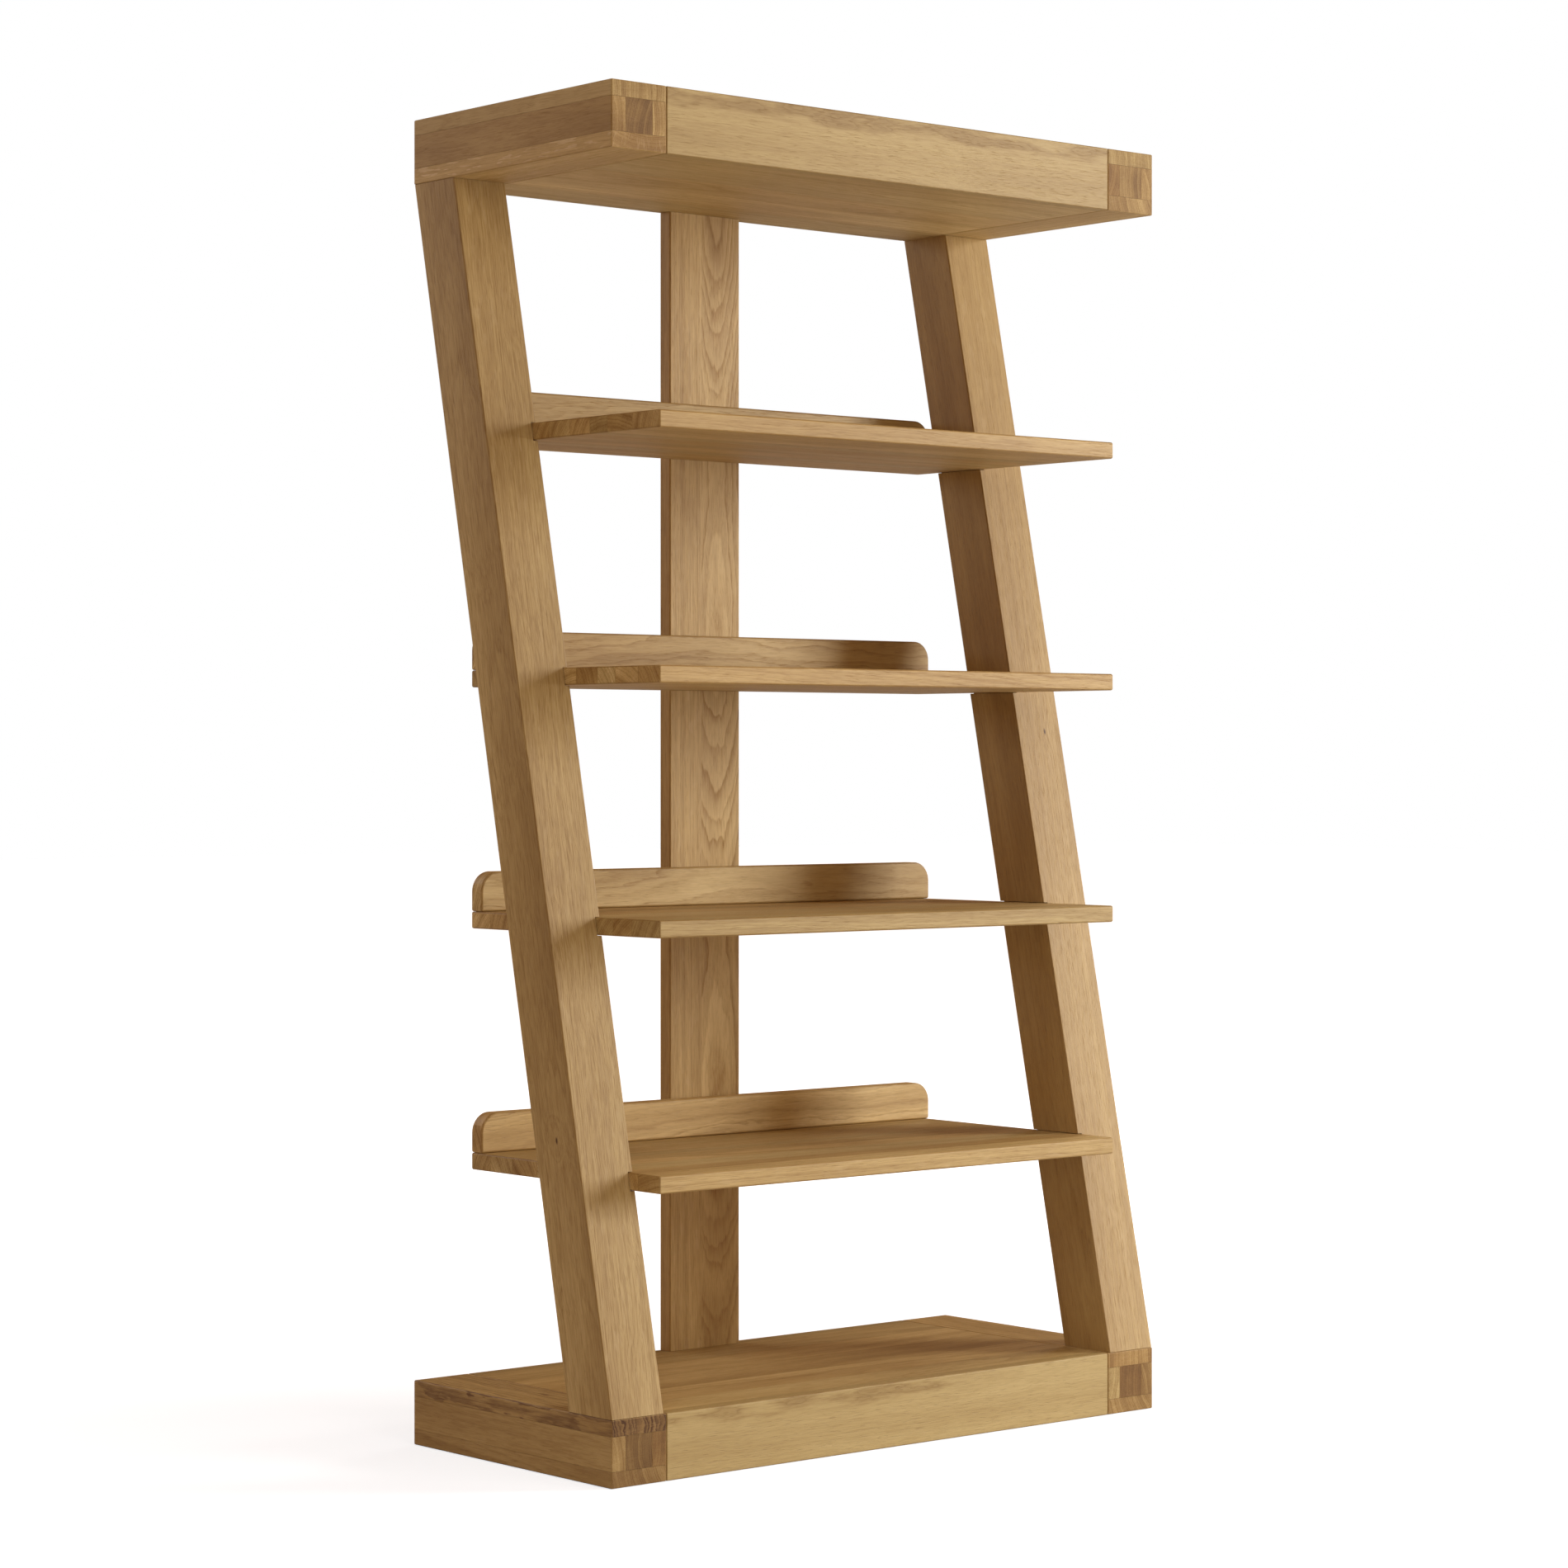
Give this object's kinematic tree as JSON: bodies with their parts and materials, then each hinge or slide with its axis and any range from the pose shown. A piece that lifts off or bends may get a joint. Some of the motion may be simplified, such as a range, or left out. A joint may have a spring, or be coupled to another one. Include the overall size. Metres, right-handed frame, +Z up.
{
  "type": "ladder shelf",
  "caption": "Free-standing oak ladder shelf: thick top and base slabs, a leaning leg each side, flat rear post, and open shelves with low rounded backboards.",
  "frame": {"origin": "on the floor, under the middle of the base slab", "axes": "+Z up, +X to the right seen from the front, +Y towards the back, so the legs' heads are at +Y and their feet at -Y"},
  "size_m": [1.01, 0.45, 1.85],
  "materials": {
    "slab_oak": "oiled oak, long grain, satin",
    "end_beam_oak": "oiled oak staves in mixed tones, end grain front and back, satin",
    "leg_oak": "oiled oak, straight grain with small pin knots, satin",
    "post_oak": "oiled oak, one plain stave and one with cathedral grain, satin",
    "shelf_oak": "oiled oak boards glued up from staves, satin",
    "backboard_oak": "oiled oak, long grain, satin",
    "beech_dowel": "plain beech, dry",
    "zinc_screw": "bright zinc plate"
  },
  "bodies": {
    "root": {"backboard_1": "backboard_oak", "backboard_2": "backboard_oak", "backboard_3": "backboard_oak", "backboard_4": "backboard_oak", "base_back_rail": "slab_oak", "base_front_rail": "slab_oak", "base_left_core_stave": "end_beam_oak", "base_left_inner_stave": "end_beam_oak", "base_left_leg_dowel_back": "beech_dowel", "base_left_leg_dowel_front": "beech_dowel", "base_left_lower_stave": "end_beam_oak", "base_left_outer_stave": "end_beam_oak", "base_left_upper_stave": "end_beam_oak", "base_lower_board": "slab_oak", "base_post_dowel_left": "beech_dowel", "base_post_dowel_right": "beech_dowel", "base_right_core_stave": "end_beam_oak", "base_right_inner_stave": "end_beam_oak", "base_right_leg_dowel_back": "beech_dowel", "base_right_leg_dowel_front": "beech_dowel", "base_right_lower_stave": "end_beam_oak", "base_right_outer_stave": "end_beam_oak", "base_right_upper_stave": "end_beam_oak", "base_upper_board": "slab_oak", "left_leg": "leg_oak", "rear_post_left_stave": "post_oak", "rear_post_right_stave": "post_oak", "right_leg": "leg_oak", "shelf_1": "shelf_oak", "shelf_1_screw_left": "zinc_screw", "shelf_1_screw_right": "zinc_screw", "shelf_2": "shelf_oak", "shelf_2_screw_left": "zinc_screw", "shelf_2_screw_right": "zinc_screw", "shelf_3": "shelf_oak", "shelf_3_screw_left": "zinc_screw", "shelf_3_screw_right": "zinc_screw", "shelf_4": "shelf_oak", "shelf_4_screw_left": "zinc_screw", "shelf_4_screw_right": "zinc_screw", "top_back_rail": "slab_oak", "top_front_rail": "slab_oak", "top_left_core_stave": "end_beam_oak", "top_left_inner_stave": "end_beam_oak", "top_left_leg_dowel_back": "beech_dowel", "top_left_leg_dowel_front": "beech_dowel", "top_left_lower_stave": "end_beam_oak", "top_left_outer_stave": "end_beam_oak", "top_left_upper_stave": "end_beam_oak", "top_lower_board": "slab_oak", "top_post_dowel_left": "beech_dowel", "top_post_dowel_right": "beech_dowel", "top_right_core_stave": "end_beam_oak", "top_right_inner_stave": "end_beam_oak", "top_right_leg_dowel_back": "beech_dowel", "top_right_leg_dowel_front": "beech_dowel", "top_right_lower_stave": "end_beam_oak", "top_right_outer_stave": "end_beam_oak", "top_right_upper_stave": "end_beam_oak", "top_upper_board": "slab_oak"}
  },
  "joints": []
}
